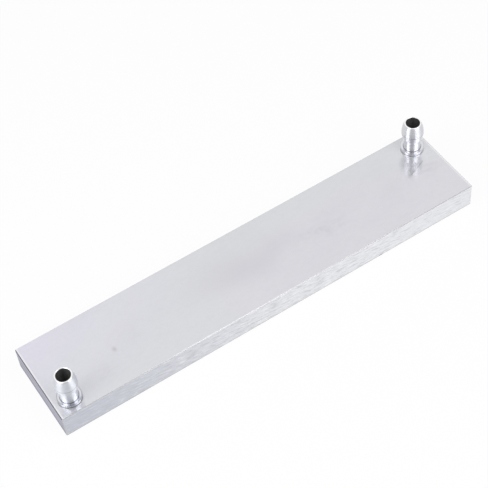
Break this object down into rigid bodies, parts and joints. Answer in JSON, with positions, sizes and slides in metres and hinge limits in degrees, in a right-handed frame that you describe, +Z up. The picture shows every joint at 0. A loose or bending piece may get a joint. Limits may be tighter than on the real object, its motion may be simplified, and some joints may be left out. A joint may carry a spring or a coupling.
{
  "type": "liquid cooling cold plate",
  "caption": "Flat aluminium cold plate with ribbed coolant passes extruded inside it, closed by end plugs, with turned hose nozzles at opposite corners of its top face.",
  "frame": {"origin": "middle of the underside, which is the face that lies on the thing to be cooled", "axes": "+X along the extrusion, +Y across it to the edge with the outlet nozzle, +Z up out of the face with the nozzles"},
  "size_m": [0.2, 0.04, 0.028],
  "materials": {
    "block_metal": "satin milled faces, brushed sides",
    "plug_metal": "ground flush",
    "nozzle_metal": "bright turned"
  },
  "bodies": {
    "root": {"extruded_body": "block_metal", "left_end_plug": "plug_metal", "right_end_plug": "plug_metal", "inlet_nozzle": "nozzle_metal", "outlet_nozzle": "nozzle_metal"}
  },
  "joints": []
}
